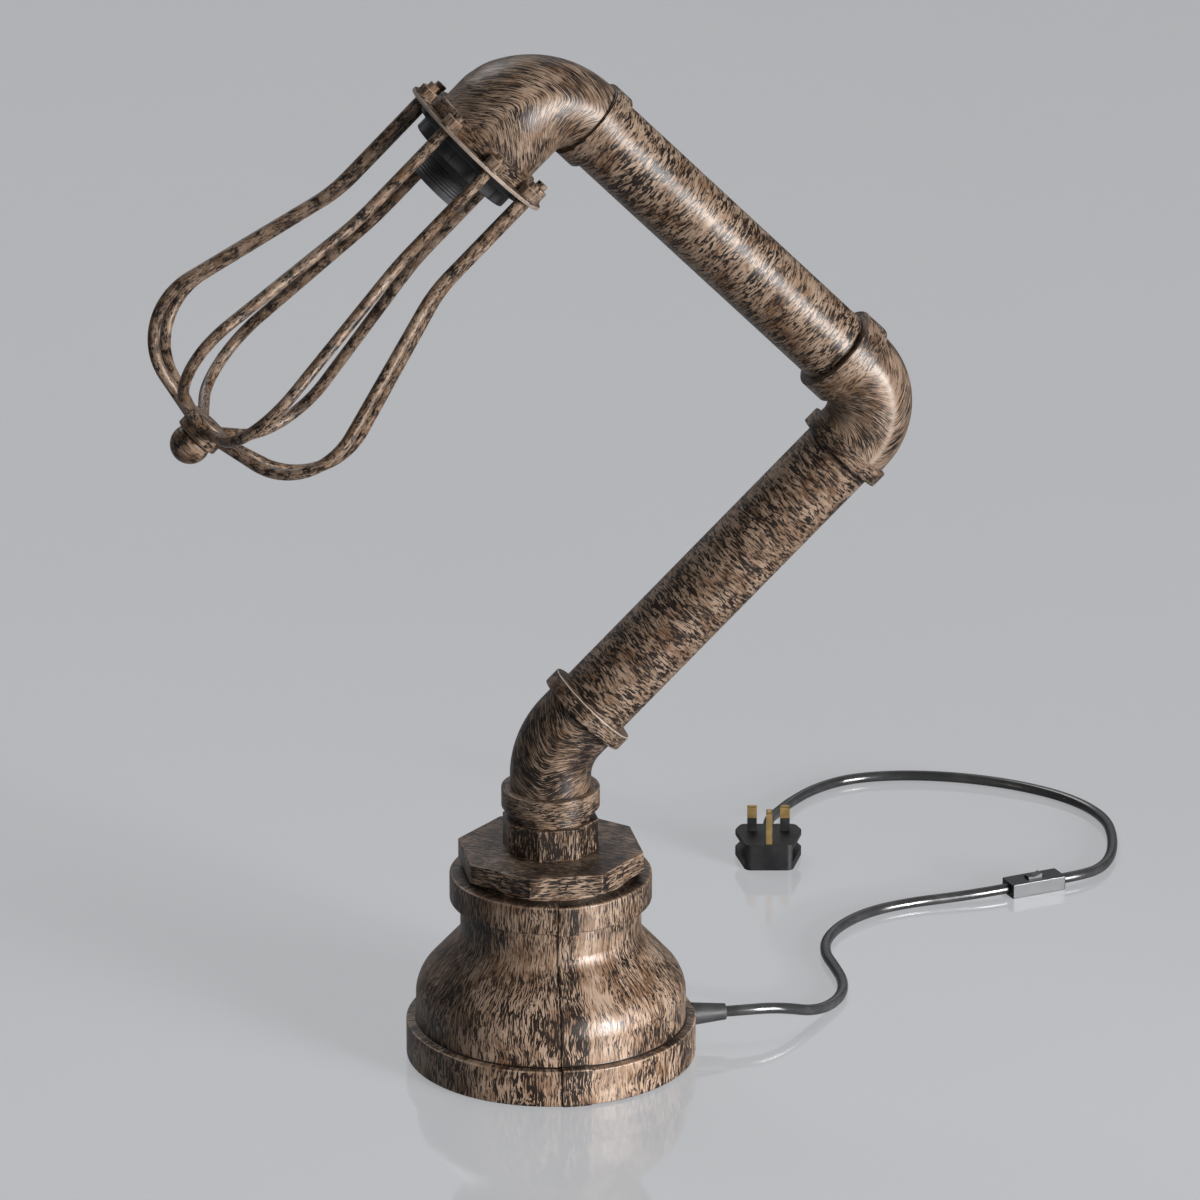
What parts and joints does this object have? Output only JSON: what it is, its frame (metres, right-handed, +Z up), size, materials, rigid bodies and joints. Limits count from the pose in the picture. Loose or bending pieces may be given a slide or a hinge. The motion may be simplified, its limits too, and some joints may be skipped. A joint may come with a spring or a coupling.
{
  "type": "pipe table lamp",
  "caption": "Table lamp of bent pipe and fittings on a heavy bell base, with a swivelling arm, a wire cage round an empty lampholder, and a cord with an in-line switch and plug.",
  "frame": {"origin": "middle of the base, on the surface that it stands on", "axes": "+Z up, the arm's bends lie in the XZ plane, the lower pipe leans towards +X and the cord leaves at +X"},
  "size_m": [0.694, 0.5198, 0.6584],
  "materials": {
    "aged_bronze": "antique bronze over black, brushed in short dark streaks, worn bright at the edges",
    "felt": "black felt",
    "cover_steel": "black steel sheet",
    "screw_steel": "zinc plated",
    "ballast_iron": "rough casting",
    "gland_black": "dark grey moulding",
    "cord_black": "smooth glossy sheath",
    "holder_black": "satin black moulding",
    "insulator_black": "black moulding",
    "contact_brass": "bare brass",
    "switch_black": "satin black moulding",
    "rocker_black": "satin black moulding",
    "plug_black": "fine grained black moulding",
    "pin_brass": "satin brass"
  },
  "bodies": {
    "base": {"base_bell": "aged_bronze", "reducing_bush": "aged_bronze", "nipple": "aged_bronze", "foot_pad": "felt", "cover_plate": "cover_steel", "cover_screws": "screw_steel", "ballast": "ballast_iron", "cord_gland": "gland_black", "gland_nut": "gland_black", "base_flex": "cord_black", "flex_to_switch": "cord_black", "flex_to_plug": "cord_black", "switch_screws": "screw_steel", "rocker_pin": "screw_steel", "switch_contacts": "contact_brass", "switch_lower_shell": "switch_black", "switch_upper_shell": "switch_black", "plug_body": "plug_black", "plug_pin_sleeves": "plug_black", "plug_earth_pin": "pin_brass", "plug_line_pins": "pin_brass"},
    "lower_arm": {"bottom_elbow": "aged_bronze", "lower_pipe": "aged_bronze", "lower_flex": "cord_black"},
    "upper_arm": {"middle_elbow": "aged_bronze", "upper_pipe": "aged_bronze", "upper_flex": "cord_black"},
    "head": {"head_elbow": "aged_bronze", "cage_plate": "aged_bronze", "plate_screws": "screw_steel", "cage_washers": "aged_bronze", "cage_nuts": "aged_bronze", "cage_hub": "aged_bronze", "ball_finial": "aged_bronze", "holder_base": "holder_black", "holder_screws": "screw_steel", "holder_cover": "holder_black", "holder_insulator": "insulator_black", "screw_shell": "contact_brass", "centre_contact": "contact_brass", "head_flex": "cord_black", "cage_wire_1": "aged_bronze", "cage_wire_2": "aged_bronze", "cage_wire_3": "aged_bronze", "cage_wire_4": "aged_bronze", "cage_wire_5": "aged_bronze", "cage_wire_6": "aged_bronze", "cage_wire_7": "aged_bronze", "cage_wire_8": "aged_bronze"},
    "rocker": {"switch_rocker": "rocker_black"}
  },
  "joints": [
    {"name": "arm_swivel", "type": "hinge", "parent": "base", "child": "lower_arm", "pos_m": [0, 0, 0.1735], "axis": [0, 0, 1], "range_deg": [-170, 170]},
    {"name": "elbow_swivel", "type": "hinge", "parent": "lower_arm", "child": "upper_arm", "pos_m": [0.18675, 0, 0.39425], "axis": [0.7071, 0, 0.7071], "range_deg": [-60, 60]},
    {"name": "head_swivel", "type": "hinge", "parent": "upper_arm", "child": "head", "pos_m": [0.02878, 0, 0.61119], "axis": [-0.7071, 0, 0.7071], "range_deg": [-90, 90]},
    {"name": "switch_rock", "type": "hinge", "parent": "base", "child": "rocker", "pos_m": [0.3655, 0.2075, 0.0072], "axis": [-0.2521, 0.9677, 0], "range_deg": [0, 16]}
  ]
}
